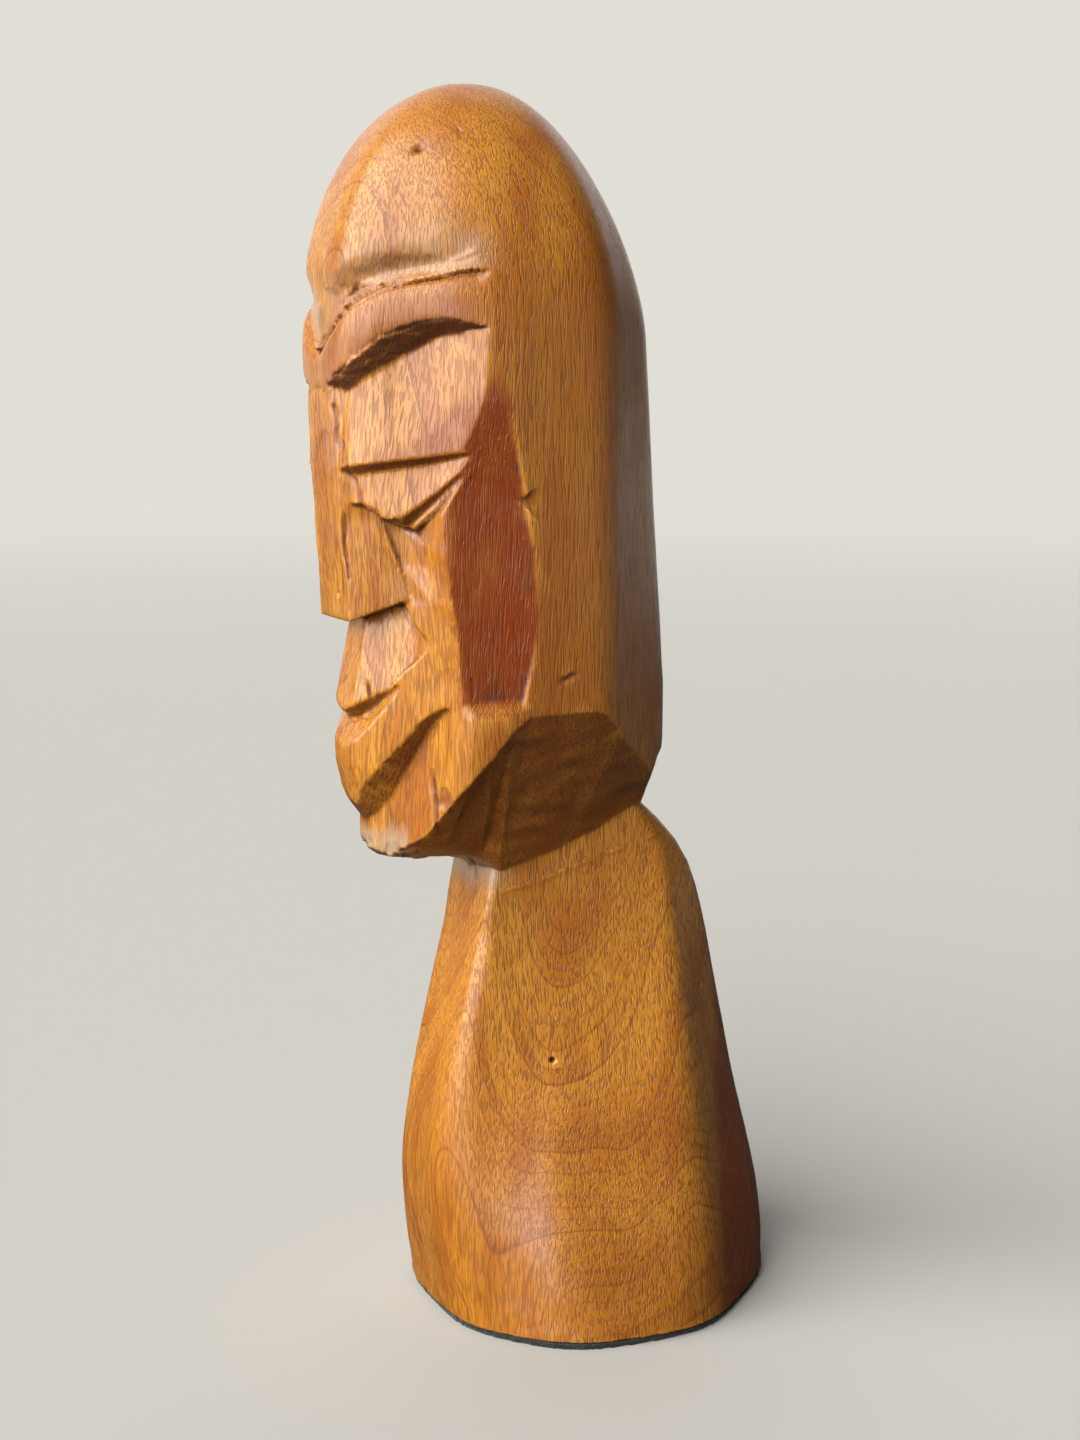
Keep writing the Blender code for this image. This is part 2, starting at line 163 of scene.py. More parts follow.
# Spacing of the felt's mesh, in millimetres
PAD_CELL = 0.45

# Below this height the foot's outline is evened, and it stays inside the solid's box by the margin
FOOT_TOP = 5
OUTLINE_MARGIN = 0.2

# Lines along the face: distances round it from its middle, then heights, in millimetres
BROW_CREST = ((0.0, 5.5, 12.0, 22.0, 38.0), (198.5, 202.1, 206.3, 210.7, 212.9))
BROW_EDGE = ((4.0, 11.5, 20.5, 30.0, 41.0), (192.3, 195.9, 202.3, 204.8, 203.9))
LID_EDGE = ((6.0, 14.0, 30.0, 38.0), (175.7, 176.3, 178.5, 180.2))

# The knife cut on the cheek's outer corner: its direction, how far out it lies, its back edge
# (heights, then places along Y) and the nick in that edge
CHEEK_FACET = (0.974, -0.226)
CHEEK_FACET_AT = 31.75
CHEEK_BACK = ((132, 148, 160, 173, 182, 190, 195), (-27.5, -24.3, -25.3, -27.4, -29.1, -30.1, -32.4))
NICK_HEIGHT = 170.9
NICK_BACK = -24.4
NICK_MIDDLE = -26.0
NICK_DEPTH = 1.1

# The plane under the eye, by distance from the middle: the lower lid's edge and the plane's lean,
# which starts at a height of its own
LOWER_LID = ((8.0, 11.6, 17.0, 20.5, 24.0), (169.0, 168.0, 165.4, 170.0, 177.0))
UNDER_EYE_LEAN = ((12.0, 15.0, 18.0, 22.5), (0.0, 0.11, 0.11, 0.0))
UNDER_EYE_FOOT = 151.0


class BustLook(bpy.types.PropertyGroup):
    """Sizes and colours of the carved wood."""
    cell: FloatProperty(name="Mesh cell", description="Spacing of the fine mesh before it is thinned",
                        default=0.42 * MM, min=0.35 * MM, max=2 * MM, unit="LENGTH", precision=5)
    triangles: IntProperty(name="Triangles", description="Most triangles in the finished wood",
                           default=194000, min=20000, max=198000)
    edge_rounding: IntProperty(name="Edge rounding", description="Smoothing passes over the carved edges",
                               default=1, min=0, max=20)
    flat_rounding: IntProperty(name="Flat rounding", description="Smoothing passes over all but the edges",
                               default=40, min=0, max=200)
    body_rounding: IntProperty(name="Body rounding", description="Smoothing passes over dome and torso",
                               default=110, min=0, max=300)
    waviness: FloatProperty(name="Hand waviness", description="How uneven the sanded surface is",
                            default=0.16 * MM, min=0, max=1 * MM, unit="LENGTH", precision=5)
    honey: FloatVectorProperty(name="Honey wood", description="Main colour of the wood", subtype="COLOR",
                               default=(0.60, 0.250, 0.021), size=3, min=0, max=1)
    amber: FloatVectorProperty(name="Amber wood", description="Darker bands of the wood", subtype="COLOR",
                               default=(0.42, 0.127, 0.006), size=3, min=0, max=1)
    russet: FloatVectorProperty(name="Russet patches", description="Worn red-brown patches",
                                subtype="COLOR", default=(0.24, 0.037, 0.001), size=3, min=0, max=1)
    pore: FloatVectorProperty(name="Pores", description="Colour down in the pores", subtype="COLOR",
                              default=(0.16, 0.040, 0.003), size=3, min=0, max=1)
    ring_width: FloatProperty(name="Ring width", description="Mean width of a growth ring",
                              default=0.8 * MM, min=0.3 * MM, max=10 * MM, unit="LENGTH", precision=5)


class FeltLook(bpy.types.PropertyGroup):
    """Colour and pile of the felt pad."""
    colour: FloatVectorProperty(name="Felt", description="Colour of the felt", subtype="COLOR",
                                default=(0.010, 0.011, 0.010), size=3, min=0, max=1)
    pile: FloatProperty(name="Pile", description="How far the felt's edge is ruffled",
                        default=0.22 * MM, min=0, max=1 * MM, unit="LENGTH", precision=5)


class StudioLook(bpy.types.PropertyGroup):
    """Backdrop and lights."""
    floor: FloatVectorProperty(name="Floor", description="Colour of the floor", subtype="COLOR",
                               default=(0.50, 0.495, 0.47), size=3, min=0, max=1)
    backdrop: FloatVectorProperty(name="Backdrop", description="Colour behind the object", subtype="COLOR",
                                  default=(0.75, 0.735, 0.67), size=3, min=0, max=1)
    bounce: FloatProperty(name="Floor bounce", description="Share of its light that the floor throws back",
                          default=0.15, min=0, max=1)
    window: FloatProperty(name="Window light", description="Strength of the light at the figure's front",
                          default=5.7, min=0, max=100)
    fill: FloatProperty(name="Fill light", description="Strength of the weak light behind the figure",
                        default=0.9, min=0, max=20)
    room: FloatProperty(name="Room light", description="Strength of the light from all round",
                        default=0.05, min=0, max=5)


def only(piece):
    """Select one object alone and make it active."""
    bpy.ops.object.select_all(action="DESELECT")
    piece.select_set(True)
    bpy.context.view_layer.objects.active = piece


def apply_all(piece):
    """Apply every modifier."""
    only(piece)
    for step in list(piece.modifiers):
        bpy.ops.object.modifier_apply(modifier=step.name)


def copy_of(node, name):
    """Own copy of a solid's mesh, its loose triangles merged."""
    piece = bpy.data.objects.new(name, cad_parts[node].data.copy())
    bpy.context.scene.collection.objects.link(piece)
    piece.data.materials.clear()
    only(piece)
    bpy.ops.object.mode_set(mode="EDIT")
    bpy.ops.mesh.select_all(action="SELECT")
    bpy.ops.mesh.remove_doubles(threshold=0.002 * MM)
    bpy.ops.object.mode_set(mode="OBJECT")
    return piece


def read(what, layer, width):
    """Values of a mesh layer as rows of so many numbers."""
    values = np.empty(len(layer) * width)
    layer.foreach_get(what, values)
    return values.reshape(-1, width)


def points_of(piece):
    """Vertex places in millimetres."""
    return read("co", piece.data.vertices, 3) / MM


def normals_of(piece):
    """Vertex normals."""
    return read("vector", piece.data.vertex_normals, 3)


def place_points(piece, points):
    """Move the vertices to places in millimetres."""
    piece.data.vertices.foreach_set("co", (points * MM).ravel())
    piece.data.update()


def edges_of(piece):
    """Vertex numbers of every edge's two ends."""
    ends = np.empty(len(piece.data.edges) * 2, dtype=np.int64)
    piece.data.edges.foreach_get("vertices", ends)
    return ends.reshape(-1, 2)


def neighbour_mean(values, ends):
    """Mean of each vertex's neighbours."""
    count = np.bincount(ends.ravel(), minlength=len(values))
    near = np.empty_like(values)
    for k in range(values.shape[1]):
        total = np.bincount(ends[:, 0], values[ends[:, 1], k], len(values))
        total += np.bincount(ends[:, 1], values[ends[:, 0], k], len(values))
        near[:, k] = total / np.maximum(count, 1)
    return near


def smoothed(values, ends, passes, share=0.5):
    """Values drawn towards their neighbours, share being a number or one value a vertex."""
    share = np.broadcast_to(share, len(values))[:, None]
    for _ in range(passes):
        values = values + share * (neighbour_mean(values, ends) - values)
    return values


def soft_noise(points, cell, seed):
    """Smooth random field from -1 to 1 that changes over about one cell."""
    table = np.random.RandomState(seed).uniform(-1, 1, (32, 32, 32))
    where = points / np.asarray(cell) + 640
    low = np.floor(where).astype(int)
    t = where - low
    t = t * t * (3 - 2 * t)
    value = np.zeros(len(points))
    for corner in product((0, 1), repeat=3):
        at = (low + corner) % 32
        weight = np.prod(np.where(corner, t, 1 - t), axis=1)
        value += weight * table[at[:, 0], at[:, 1], at[:, 2]]
    return value


def ramp(values, start, end):
    """0 before start, 1 after end, smooth between."""
    t = np.clip((values - start) / (end - start), 0, 1)
    return t * t * (3 - 2 * t)


def seen_frame(points):
    """Places seen from the marks' side: across, up, and a little of the depth."""
    across = points[:, 0] * -TOWARDS_VIEW.y + points[:, 1] * TOWARDS_VIEW.x
    deep = points[:, 0] * TOWARDS_VIEW.x + points[:, 1] * TOWARDS_VIEW.y
    return np.stack((across, points[:, 2], 0.12 * deep), axis=1)


def from_line(points, line):
    """Distance from each point to a broken line, and how far along the line that is, 0 to 1."""
    where = seen_frame(points)
    line = seen_frame(np.array(line, dtype=float))
    lengths = np.linalg.norm(np.diff(line, axis=0), axis=1)
    best = np.full(len(points), 1e9)
    along = np.zeros(len(points))
    gone = 0.0
    for start, end, length in zip(line, line[1:], lengths):
        t = np.clip((where - start) @ (end - start) / length**2, 0, 1)
        away = np.linalg.norm(where - start - t[:, None] * (end - start), axis=1)
        nearer = away < best
        best[nearer] = away[nearer]
        along[nearer] = (gone + t[nearer] * length) / lengths.sum()
        gone += length
    return best, along


def facing(normals):
    """1 where the surface faces the marks' side, 0 where it faces away."""
    return ramp(normals[:, 0] * TOWARDS_VIEW.x + normals[:, 1] * TOWARDS_VIEW.y, -0.1, 0.1)


def round_face(points):
    """How far round the face each point lies from its middle, on either side."""
    x, y = np.abs(points[:, 0]), points[:, 1]
    return np.minimum(x, 13) + 1.15 * np.clip(y + 59.1, 0, 26)


def above_crest(points):
    """Height above the brow's crest."""
    return points[:, 2] - np.interp(round_face(points), *BROW_CREST)


def fine_blank(piece, look):
    """Even fine mesh over the solid's form, its facets eased as hand tools leave them."""
    step = piece.modifiers.new("even_mesh", "REMESH")
    step.mode = "VOXEL"
    step.voxel_size = look.cell
    apply_all(piece)
    points = points_of(piece)
    ends = edges_of(piece)
    sharp = np.linalg.norm(neighbour_mean(points, ends) - points, axis=1)
    sharp = np.maximum(sharp, 1.6 * neighbour_mean(sharp[:, None], ends)[:, 0])
    flat = ramp(sharp, 0.032, 0.014)
    points = smoothed(points, ends, look.edge_rounding, 0.35)
    points = smoothed(points, ends, look.flat_rounding, 0.5 * flat)
    y, z = points[:, 1], points[:, 2]
    dome = ramp(z, 217, 224)
    crisp = np.clip(1.5 * smoothed(ramp(sharp, 0.03, 0.055)[:, None], ends, 2)[:, 0], 0, 1)
    torso = ramp(z, 88, 80) * ramp(z, 2.5, 6) * (1 - 0.9 * crisp * ramp(y, -6, 4))
    head_side = ramp(y, -33, -27) * ramp(z, 131, 137) * (1 - dome)
    scoop = 0.3 * ramp(above_crest(points), 0.4, 2.6) * ramp(y, -30, -36)
    soft = np.clip(dome + torso + head_side + scoop, 0, 1)
    points = smoothed(points, ends, look.body_rounding, 0.5 * soft)
    place_points(piece, evened_outline(points))


def evened_outline(points):
    """The foot's outline as one smooth curve, where the solid has facets."""
    turn = np.degrees(np.arctan2(points[:, 1], points[:, 0])) % 360
    out = np.hypot(points[:, 0], points[:, 1])
    low = points[:, 2] < FOOT_TOP
    reach = np.zeros(360)
    np.maximum.at(reach, turn[low].astype(int) % 360, out[low])
    curves = []
    for width in (7.0, 1.5):
        weights = np.exp(-0.5 * (np.arange(-30, 31) / width) ** 2)
        curves.append(np.convolve(np.tile(reach, 3), weights / weights.sum(), "same")[360:720])
    change = np.interp(turn, np.arange(360) + 0.5, curves[0] / curves[1], period=360) - 1
    scale = 1 + change * ramp(points[:, 2], FOOT_TOP + 5, FOOT_TOP)
    points = points * np.stack((scale, scale, np.ones(len(points))), axis=1)
    low, high = (np.array(corner[:2]) / MM for corner in cad_box)
    points[:, :2] = np.clip(points[:, :2], low + OUTLINE_MARGIN, high - OUTLINE_MARGIN)
    return points


def outside_cheek(points):
    """How far each point lies outside the plane of the cheek's knife cut."""
    x, y = np.abs(points[:, 0]), points[:, 1]
    return x * CHEEK_FACET[0] + y * CHEEK_FACET[1] - CHEEK_FACET_AT - 1.5 * ramp(points[:, 2], 170, 194)


def behind_cheek_cut(points):
    """How far each point lies behind the back edge of the cheek's knife cut."""
    return points[:, 1] - np.interp(points[:, 2], *CHEEK_BACK)


def shaved(points):
    """Depth of the flat knife cut on the cheek's outer corner, with the nick at its back edge."""
    x, y, z = points.T
    wander = 0.5 * soft_noise(points, (5, 5, 7), 41)
    depth = np.clip(outside_cheek(points), 0, 2) * ramp(behind_cheek_cut(points) + wander, 0.4, -0.4)
    depth *= ramp(z + wander, 129.0, 133.5)
    off = np.abs(z - NICK_HEIGHT)
    wedge = np.clip((NICK_BACK - y) / 3.4, 0, 1) * (y > NICK_BACK - 3.6 + 1.1 * off) * (off < 3.0)
    return np.maximum(depth, NICK_DEPTH * wedge * (x > 0))


def under_eye(points, normals):
    """Depth that leans the plane under the eye's lower lid back, so that it catches the light."""
    x, z = np.abs(points[:, 0]), points[:, 2]
    lean = np.interp(x, *UNDER_EYE_LEAN) * np.clip(z - UNDER_EYE_FOOT, 0, 20)
    below_lid = ramp(z - np.interp(x, *LOWER_LID), 0.3, -0.5)
    return lean * below_lid * ramp(-normals[:, 1], 0.3, 0.6) * ramp(points[:, 1], -36, -39)


def torn_path(points):
    """Small shifts that make a straight line through the points ragged."""
    return 0.6 * np.stack([soft_noise(points, 1.8, seed) for seed in (14, 15, 16)], axis=1)


def cut_depths(points, normals):
    """Depth in millimetres of every split, tear, hole and ridge at each vertex."""
    depth = np.zeros(len(points))
    toward = facing(normals)
    ragged = 1 + 0.5 * soft_noise(points, 1.6, 11)
    for line, width, deep in SPLITS.values():
        away, along = from_line(points, line)
        taper = np.sin(np.pi * np.clip(along, 0.04, 0.96)) ** 0.6
        depth += toward * deep * taper * np.clip(1 - away / (width * ragged), 0, 1)
    wobble = torn_path(points)
    for line, width, deep in TEARS.values():
        away = from_line(points + wobble, line)[0]
        torn = 0.9 + 0.5 * soft_noise(points, (0.9, 0.9, 2.4), 12)
        depth += toward * deep * np.clip(torn, 0, 2) * np.clip(1.25 - away / (width * ragged), 0, 1)
    for line, width, high in RIDGES.values():
        away = from_line(points, line)[0]
        broken = ramp(soft_noise(points, 2.6, 13), -0.5, 0.2)
        depth -= toward * high * broken * np.clip(1 - away / width, 0, 1)
    for middle, radius, deep in HOLES.values():
        away = np.linalg.norm(points - np.array(middle), axis=1)
        depth += deep * (1 - ramp(away, 0.4 * radius, 1.2 * radius))
    return depth


def brow_place(points):
    """How far up the brow's front band each point lies, 0 at its lower edge and 1 at its crest."""
    along = round_face(points)
    low, high = np.interp(along, *BROW_EDGE), np.interp(along, *BROW_CREST)
    return (points[:, 2] - low) / (high - low)


def hand_marks(points, normals, look):
    """Unevenness of sanded carving, gouge ripples, torn grain on the nose and chips at the chin."""
    x, y, z = points.T
    wave = look.waviness / MM
    depth = wave * soft_noise(points, (16, 16, 24), 1) + 0.2 * wave * soft_noise(points, (6, 6, 9), 2)
    scoop = np.exp(-((z - 212.5 - 0.30 * (y + 50)) / 4.0) ** 2) * ramp(y, -34, -40)
    scoop *= ramp(above_crest(points), 0.8, 3.2)
    depth += scoop * (0.8 + 0.10 * soft_noise(points, (3.4, 3.4, 1.3), 3))
    up = brow_place(points)
    band = ramp(np.abs(normals[:, 2]), 0.75, 0.5) * (np.abs(up - 0.5) < 0.62) * ramp(y, -33, -37)
    depth += np.where(up > 0.5, 0.85, 0.2) * band * np.clip(np.abs(2 * up - 1), 0, 1.1) ** 3
    nose = ramp(y, -50, -54) * ramp(z, 187, 182) * ramp(z, 148, 151) * ramp(np.abs(x), 10, 8.5)
    depth += 0.36 * nose * np.abs(soft_noise(points, (1.1, 1.1, 13), 4))
    depth += 0.45 * nose * np.clip(soft_noise(points, (1.5, 1.5, 9), 5) - 0.3, 0, 1)
    chin = ramp(z, 103.5, 100.5) * ramp(z, 94, 96) * ramp(y, -38, -42)
    depth += 0.9 * chin * np.clip(soft_noise(points, (1.6, 1.6, 1.6), 6) + 0.1, 0, 1)
    hollow = ramp(z, 188, 192) * ramp(y, -32, -38) * ramp(normals[:, 2], -0.2, -0.5)
    depth += 0.18 * hollow * soft_noise(points, (3.0, 3.0, 1.3), 7)
    under = ramp(z, 129, 125) * ramp(z, 92, 95) * ramp(normals[:, 2], -0.15, -0.35)
    depth += 0.14 * under * soft_noise(points, (5, 5, 2.5), 8)
    foot = ramp(z, 4.5, 1.6)
    depth += 0.25 * foot * np.clip(soft_noise(points, (3, 3, 2), 9), 0, 1)
    return depth + shaved(points) + under_eye(points, normals)


def thin_out(piece, triangles):
    """Collapse the flattest triangles until so many are left."""
    piece.data.calc_loop_triangles()
    share = triangles / len(piece.data.loop_triangles)
    if share < 1:
        step = piece.modifiers.new("thinned", "DECIMATE")
        step.ratio = share
        apply_all(piece)


def colour_layer(piece, name, *channels):
    """Four masks kept as one colour layer."""
    layer = piece.data.color_attributes.new(name, "FLOAT_COLOR", "POINT")
    layer.data.foreach_set("color", np.clip(np.stack(channels, axis=1), 0, 1).ravel())


def torn_mask(points, normals):
    """Torn wood: along the tears and splits and in the holes."""
    torn = np.zeros(len(points))
    toward = facing(normals)
    wobble = torn_path(points)
    for line, width, _ in TEARS.values():
        away = from_line(points + wobble, line)[0]
        torn = np.maximum(torn, toward * np.clip(1.4 - away / (1.1 * width), 0, 1))
    for line, width, deep in SPLITS.values():
        away = from_line(points, line)[0]
        torn = np.maximum(torn, min(0.9, 1.5 * deep) * toward * np.clip(1.2 - away / width, 0, 1))
    for middle, radius, _ in HOLES.values():
        away = np.linalg.norm(points - np.array(middle), axis=1)
        torn = np.maximum(torn, 1 - ramp(away, 0.5 * radius, 1.3 * radius))
    return torn


def russet_mask(points, blot):
    """Red-brown patches: the cheek's knife cut, the outer lid, the head's back edge, the torso's back."""
    y, z = points[:, 1], points[:, 2]
    along = round_face(points)
    in_front = ramp(behind_cheek_cut(points) + 0.4 * blot, 0.5, -0.8)
    cheek = ramp(outside_cheek(points) + 0.12 * blot, -0.55, -0.1) * in_front
    cheek *= ramp(z + 0.7 * blot, 131.6, 133.4) * ramp(z + 0.9 * np.abs(y + 33.5), 198.0, 190.0)
    lid_up = z - np.interp(along, *LID_EDGE)
    lid = ramp(lid_up, -0.2, 0.3) * ramp(lid_up - 0.42 * (along - 18) + 0.8 * blot, 3.0, -1.0)
    lid *= ramp(along, 12, 20) * ramp(z, 200, 192) * in_front
    back_edge = ramp(y + 0.4 * blot, 4.5, 8.0) * ramp(z, 124, 132) * ramp(z, 215, 185)
    low_edge = ramp(points @ np.array((0.35, 0.9, 0.0)) + 0.6 * blot, 24, 27) * ramp(z, 104, 80)
    return np.maximum.reduce((cheek, 0.62 * lid, 0.35 * back_edge, 0.85 * low_edge))


def bend_masks(points, normals, ends):
    """Hollows, darkened for varnish and dirt that gather there and also as painted shade, with painted shade
    under the brow added, and worn edges, lightened also as a painted highlight, both from how the surface
    bends.
    """
    y, z = points[:, 1], points[:, 2]
    up, front = brow_place(points), ramp(points[:, 1], -33, -37)
    bend = np.einsum("ij,ij->i", smoothed(points, ends, 3) - points, normals)[:, None]
    bend = smoothed(bend, ends, 1)[:, 0]
    # Concave creases darkened as dirt and also as painted shade
    hollow = ramp(bend, 0.015, 0.09)
    hollow *= 1 - 0.8 * (np.abs(z - NICK_HEIGHT) < 3.5) * (np.abs(y - NICK_MIDDLE) < 3)
    crest_side = ramp(up, 0.8, 0.95) * ramp(up, 1.9, 1.5) * front * ramp(round_face(points), 9, 15)
    hollow = hollow * (1 - 0.85 * crest_side)
    # Painted shade under the brow's overhang, on surfaces facing down
    painted_shade_under_brow = ramp(-normals[:, 2], 0.1, 0.4) * ramp(z, 185, 190) * ramp(z, 212, 206) * ramp(y, -30, -34)
    hollow = np.maximum(hollow, 0.75 * painted_shade_under_brow)
    crest = ramp(up, 0.72, 0.9) * ramp(up, 1.25, 1.08) * front
    low_brow = ramp(up, 0.35, 0.1) * ramp(up, -0.7, -0.4) * front
    # Convex edges lightened as worn wood and as a painted highlight
    edge = ramp(bend, -0.015, -0.09) * (1 - crest) * (1 - painted_shade_under_brow) * (1 - low_brow)
    return hollow, edge


def tone_masks(points, normals, blot):
    """End grain below, darkened also as painted shade, greyed wood with painted shade in the scoop above the
    brow, the rosy brow, and amber wood on top, on the sides and on the crest.
    """
    x, y, z = np.abs(points[:, 0]), points[:, 1], points[:, 2]
    up, over, front = brow_place(points), above_crest(points), ramp(points[:, 1], -33, -37)
    # End grain facing down, darkened also as painted shade on undersides
    below = ramp(-normals[:, 2], 0.15, 0.6) * ramp(z, 6, 12)
    neck = ramp(x, 11.5, 10.0) * ramp(y, -20, -24) * ramp(z + 1.5 * blot, 88, 95) * ramp(z, 106, 103)
    # Painted shade in the scoop above the brow, added to the greyed-wood mask
    scoop = ramp(over, 0.6, 2.0) * ramp(over + 1.5 * blot, 13, 5) * ramp(y, -30, -36)
    rosy = ramp(up, -0.25, 0.0) * ramp(up + 0.06 * blot, 0.66, 0.42) * front * ramp(x, 3, 6)
    head_top = ramp(normals[:, 2], 0.35, 0.85)
    head_side = ramp(y, -29, -24) * ramp(z, 127, 133) * ramp(z + 2 * blot, 224, 206)
    brow_top = ramp(up, 0.35, 0.60) * ramp(up, 1.35, 1.10) * front
    amber = np.maximum.reduce((head_top, head_side, brow_top))
    return below, np.maximum(neck, 0.45 * scoop), rosy, amber


def paint_masks(piece):
    """Two colour layers: the first has russet wood, hollows with dirt and painted shade, edges worn and with
    a painted highlight, and torn wood; tone has what tone_masks gives.
    """
    points, normals = points_of(piece), normals_of(piece)
    blot = 1.3 * soft_noise(points, 8, 21) + 0.8 * soft_noise(points, 3.0, 22)
    hollow, edge = bend_masks(points, normals, edges_of(piece))
    colour_layer(piece, "wear_shade_and_highlight", russet_mask(points, blot), hollow, edge, torn_mask(points, normals))
    colour_layer(piece, "tone", *tone_masks(points, normals, blot))


def add(tree, kind, links=(), **values):
    """New node; links are pairs of a socket and its source or constant, values the node's settings."""
    made = tree.nodes.new("ShaderNode" + kind)
    for name, value in values.items():
        setattr(made, name, value)
    for socket, source in links:
        if isinstance(source, bpy.types.NodeSocket):
            tree.links.new(source, made.inputs[socket])
        else:
            made.inputs[socket].default_value = source
    return made


def maths(tree, operation, *terms):
    """Output of a Math node."""
    return add(tree, "Math", list(enumerate(terms)), operation=operation).outputs[0]


def times(tree, value, share):
    """Product of two numbers."""
    return maths(tree, "MULTIPLY", value, share)


def vectors(tree, operation, *terms):
    """Output of a Vector Math node whose result is a vector."""
    return add(tree, "VectorMath", list(enumerate(terms)), operation=operation).outputs[0]


def measure(tree, operation, *terms):
    """Output of a Vector Math node whose result is a number."""
    return add(tree, "VectorMath", list(enumerate(terms)), operation=operation).outputs["Value"]


def in_millimetres(tree, place):
    """A place in metres as one in millimetres."""
    return add(tree, "VectorMath", (("Vector", place), ("Scale", 1 / MM)), operation="SCALE").outputs[0]


def fade(tree, value, start, end, low=0.0, high=1.0):
    """Smooth change from low to high as a value goes from start to end."""
    links = (("Value", value), ("From Min", start), ("From Max", end), ("To Min", low), ("To Max", high))
    return add(tree, "MapRange", links, interpolation_type="SMOOTHSTEP").outputs[0]


def mix(tree, share, first, second, blend="MIX"):
    """Colour between first and second."""
    made = add(tree, "Mix", data_type="RGBA", blend_type=blend)
    for socket, source in ((0, share), (6, first), (7, second)):
        if isinstance(source, bpy.types.NodeSocket):
            tree.links.new(source, made.inputs[socket])
        else:
            made.inputs[socket].default_value = source
    return made.outputs[2]


def cloud(tree, place, cell, detail=2.0, rough=0.5):
    """Noise from 0 to 1 whose blots are about cell millimetres, one size or one for each axis."""
    sizes = cell if isinstance(cell, tuple) else (cell,) * 3
    scaled = vectors(tree, "DIVIDE", place, sizes)
    return add(tree, "TexNoise", (("Vector", scaled), ("Scale", 1.0), ("Detail", detail),
                                  ("Roughness", rough))).outputs["Fac"]


def rgba(colour):
    """Colour that hides what is behind it."""
    return (*colour, 1.0)


def new_surface(name):
    """New material with its node tree and its shader."""
    surface = bpy.data.materials.new(name)
    surface.use_nodes = True
    return surface, surface.node_tree, surface.node_tree.nodes["Principled BSDF"]


def grain_group():
    """Node group with the grain's inputs and outputs and nothing between them."""
    group = bpy.data.node_groups.new("wood_grain", "ShaderNodeTree")
    for name, kind in (("Place", "Vector"), ("Honey", "Color"), ("Amber", "Color"), ("Pore", "Color"),
                       ("Ring width", "Float")):
        group.interface.new_socket(name, in_out="INPUT", socket_type="NodeSocket" + kind)
    for name, kind in (("Colour", "Color"), ("Height", "Float"), ("Shine", "Float")):
        group.interface.new_socket(name, in_out="OUTPUT", socket_type="NodeSocket" + kind)
    return group


def wood_grain():
    """Node group: growth rings round a far pith, pores and fibres that run up the block."""
    group = grain_group()
    given = group.nodes.new("NodeGroupInput").outputs
    result = group.nodes.new("NodeGroupOutput").inputs

    place = in_millimetres(group, given["Place"])
    drift = add(group, "TexNoise", (("Vector", vectors(group, "DIVIDE", place, DRIFT_CELL)),
                                    ("Scale", 1.0), ("Detail", 1.0))).outputs["Color"]
    drift = vectors(group, "MULTIPLY", vectors(group, "SUBTRACT", drift, (0.5, 0.5, 0.5)), DRIFT)
    bent = vectors(group, "ADD", place, drift)

    pith = vectors(group, "MULTIPLY", vectors(group, "ADD", bent, FROM_PITH), (1, 1, 0))
    radius = measure(group, "LENGTH", pith)
    uneven = cloud(group, bent, (18, 18, 40), 1)
    count = maths(group, "DIVIDE", maths(group, "ADD", radius, times(group, uneven, 2.4)),
                  given["Ring width"])
    phase = maths(group, "FRACT", count)
    late = times(group, fade(group, phase, 0.70, 0.97), fade(group, phase, 1.0, 0.97))
    year = add(group, "TexWhiteNoise", (("W", maths(group, "FLOOR", count)),),
               noise_dimensions="1D").outputs["Value"]

    flame = cloud(group, bent, FLAME_CELL, 1)
    band = maths(group, "ADD", times(group, flame, 0.85), times(group, year, 0.15))
    colour = mix(group, fade(group, band, 0.38, 0.70), given["Honey"], given["Amber"])
    fibre = cloud(group, bent, FIBRE_CELL, 2, 0.6)
    colour = mix(group, fade(group, fibre, 0.42, 0.62, 0.0, 0.50), colour, given["Amber"])
    line = times(group, late, fade(group, year, 0.0, 1.0, 0.16, 0.60))
    colour = mix(group, line, colour, given["Pore"])

    coarse = fade(group, cloud(group, bent, COARSE_PORE, 0), 0.56, 0.68)
    fine = fade(group, cloud(group, bent, FINE_PORE, 0), 0.57, 0.68)
    pores = maths(group, "MAXIMUM", coarse, times(group, fine, 0.8))
    colour = mix(group, times(group, pores, 0.55), colour, given["Pore"])

    height = maths(group, "SUBTRACT", times(group, fibre, 0.15), pores)
    shine = maths(group, "ADD", times(group, pores, 0.14), times(group, fibre, 0.05))
    for name, source in (("Colour", colour), ("Height", height), ("Shine", shine)):
        group.links.new(source, result[name])
    return group


def laid_grain(tree, place, look):
    """Outputs of the grain group in its colours, laid through the wood."""
    grain = tree.nodes.new("ShaderNodeGroup")
    grain.node_tree = wood_grain()
    tree.links.new(place, grain.inputs["Place"])
    for name, colour in (("Honey", look.honey), ("Amber", look.amber), ("Pore", look.pore)):
        grain.inputs[name].default_value = rgba(colour)
    grain.inputs["Ring width"].default_value = look.ring_width / MM
    return grain.outputs


def painted_masks(tree):
    """The eight masks on the mesh: russet, hollow with dirt and painted shade, edge worn and with a painted
    highlight, torn, end grain with painted shade, greyed wood with painted shade in the scoop, rosy and
    amber.
    """
    masks = []
    for layer in ("wear_shade_and_highlight", "tone"):
        painted = add(tree, "Attribute", attribute_name=layer).outputs
        parts = add(tree, "SeparateColor", (("Color", painted["Color"]),)).outputs
        masks += [parts["Red"], parts["Green"], parts["Blue"], painted["Alpha"]]
    return masks


